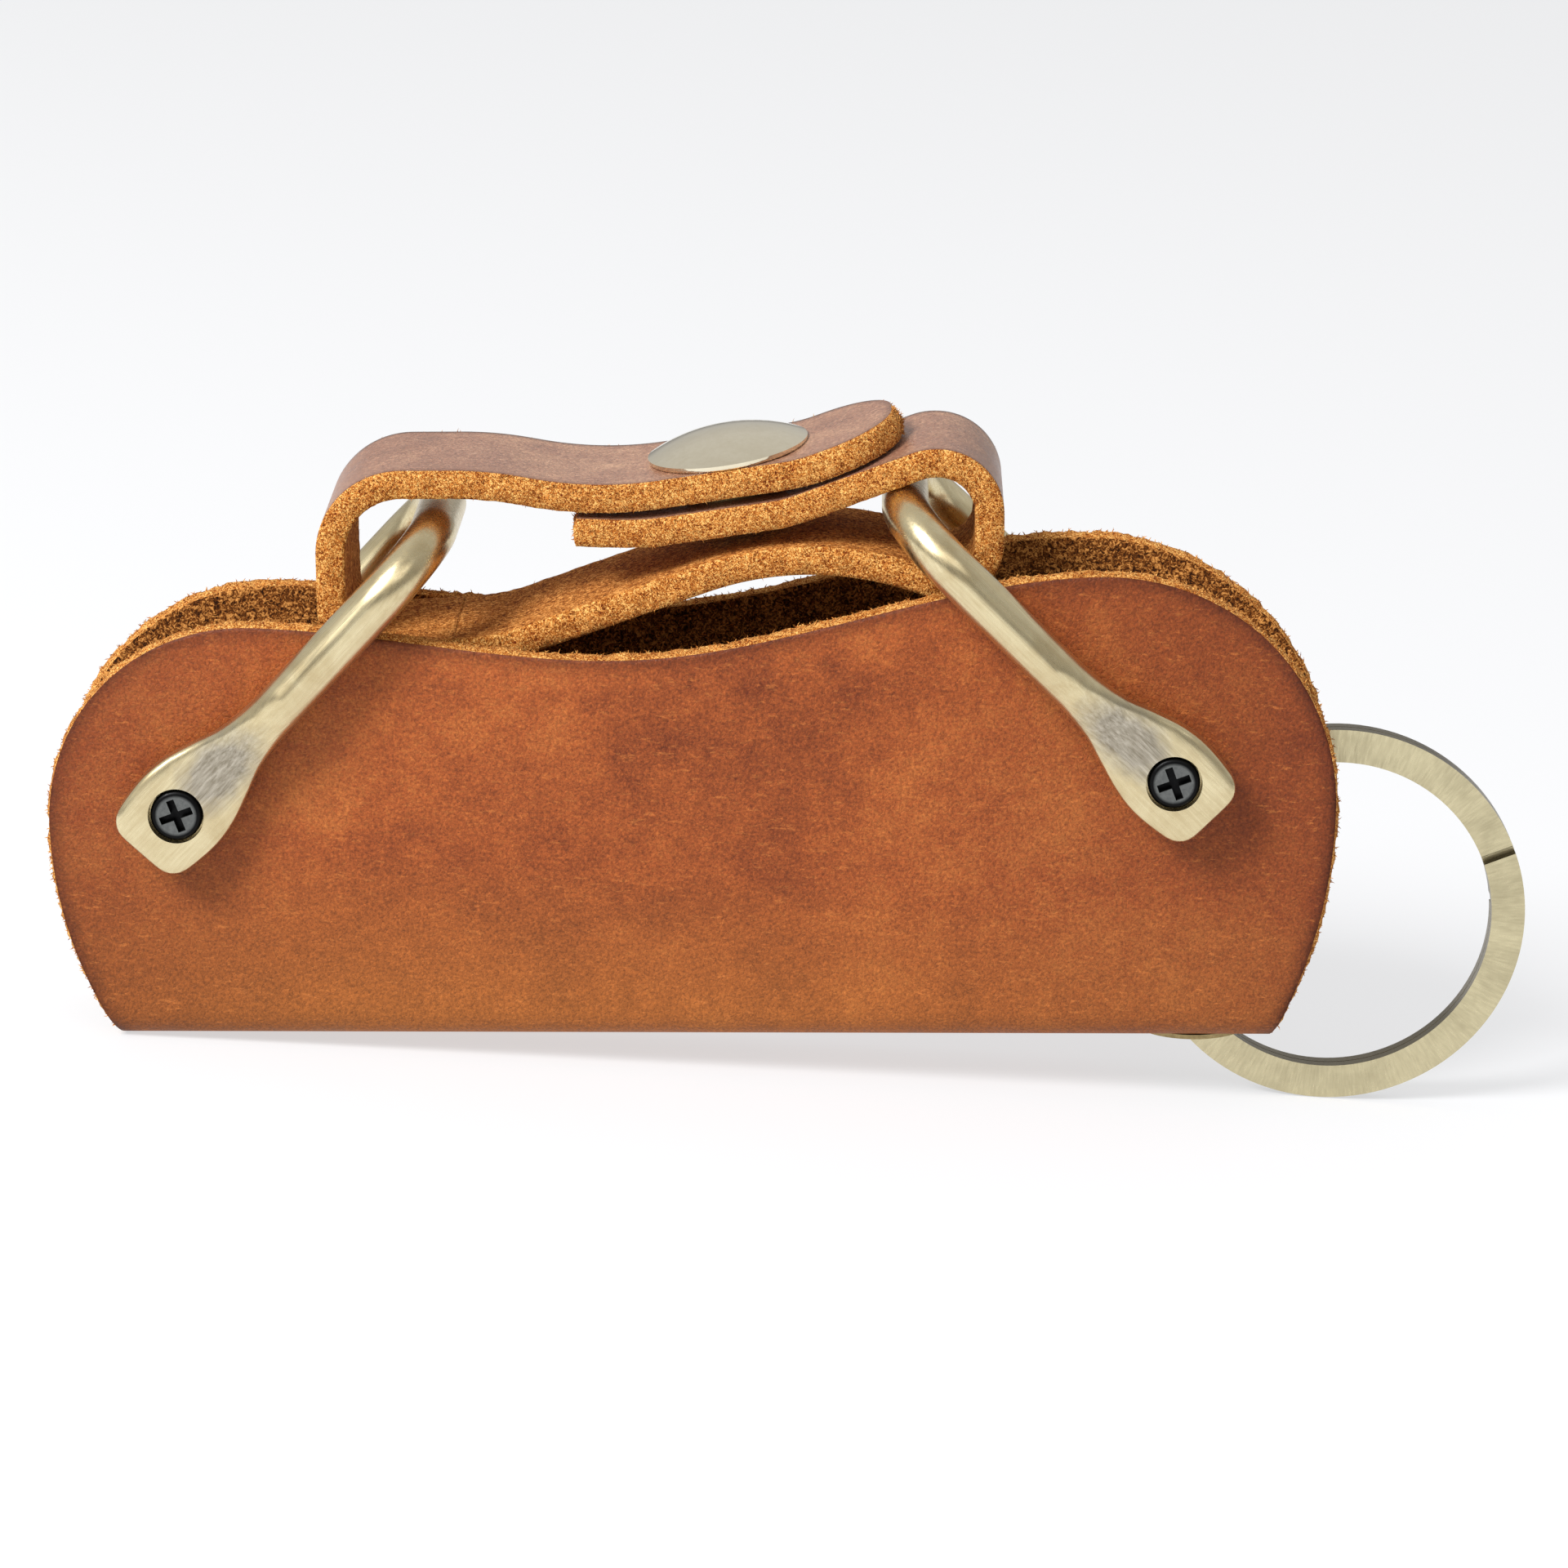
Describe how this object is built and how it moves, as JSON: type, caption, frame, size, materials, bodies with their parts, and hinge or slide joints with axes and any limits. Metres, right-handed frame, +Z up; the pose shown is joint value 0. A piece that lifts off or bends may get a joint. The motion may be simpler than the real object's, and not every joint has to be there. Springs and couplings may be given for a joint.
{
  "type": "key organiser",
  "caption": "Folded leather key organiser: brass bows swing on key posts, carry a snap-closed strap loop, and a split ring hangs through an eyelet.",
  "frame": {"origin": "centre of the whole organiser's box in X and Y, at the surface it stands on", "axes": "+X along the cover's fold towards the key ring, +Y through the thickness from the front flap to the back flap, +Z up; the cover is tilted 3.8 degrees because its right end rests on the ring"},
  "size_m": [0.1148, 0.025, 0.053],
  "materials": {
    "cover_leather": "oiled pull-up, rich brown",
    "strap_leather": "oiled pull-up, burnished",
    "antique_brass": "satin, pale antique plating",
    "cap_brass": "glossy antique plating",
    "ring_brass": "brushed antique plating",
    "black_steel": "black oxide",
    "post_steel": "turned"
  },
  "bodies": {
    "cover": {"leather_cover": "cover_leather", "eyelet": "antique_brass", "eyelet_washer": "antique_brass", "left_key_post": "post_steel", "right_key_post": "post_steel", "left_inner_washers": "post_steel", "right_inner_washers": "post_steel", "left_outer_washers": "post_steel", "right_outer_washers": "post_steel", "left_front_screw": "black_steel", "left_back_screw": "black_steel", "right_front_screw": "black_steel", "right_back_screw": "black_steel"},
    "left_shackle": {"left_bow": "antique_brass"},
    "right_shackle": {"right_bow": "antique_brass"},
    "strap": {"strap_band": "strap_leather", "snap_stud": "antique_brass", "snap_rivet": "antique_brass"},
    "strap_tab": {"strap_tab": "strap_leather", "snap_cap": "cap_brass", "snap_socket": "antique_brass"},
    "key_ring": {"key_ring": "ring_brass"}
  },
  "joints": [
    {"name": "left_bow_swing", "type": "hinge", "parent": "cover", "child": "left_shackle", "pos_m": [-0.04725, 0, 0.01941], "axis": [0, 1, 0], "range_deg": [-8, 3]},
    {"name": "right_bow_swing", "type": "hinge", "parent": "cover", "child": "right_shackle", "pos_m": [0.02855, 0, 0.0272], "axis": [0, 1, 0], "range_deg": [-7.47, 2.81]},
    {"name": "strap_swing", "type": "hinge", "parent": "left_shackle", "child": "strap", "pos_m": [-0.029, 0, 0.04182], "axis": [0, 1, 0], "range_deg": [-6.25, 16.64]},
    {"name": "tab_lift", "type": "hinge", "parent": "strap", "child": "strap_tab", "pos_m": [-0.01825, -0.00027, 0.04575], "axis": [0.0029, -0.999, -0.0435], "range_deg": [0, 65]},
    {"name": "ring_swing", "type": "hinge", "parent": "cover", "child": "key_ring", "pos_m": [0.03209, 0, 0.00649], "axis": [0, 1, 0], "range_deg": [0, 65]}
  ],
  "couplings": [
    {"joint": "right_bow_swing", "follows": "left_bow_swing", "ratio": 0.9323},
    {"joint": "strap_swing", "follows": "left_bow_swing", "ratio": -2.0785}
  ]
}
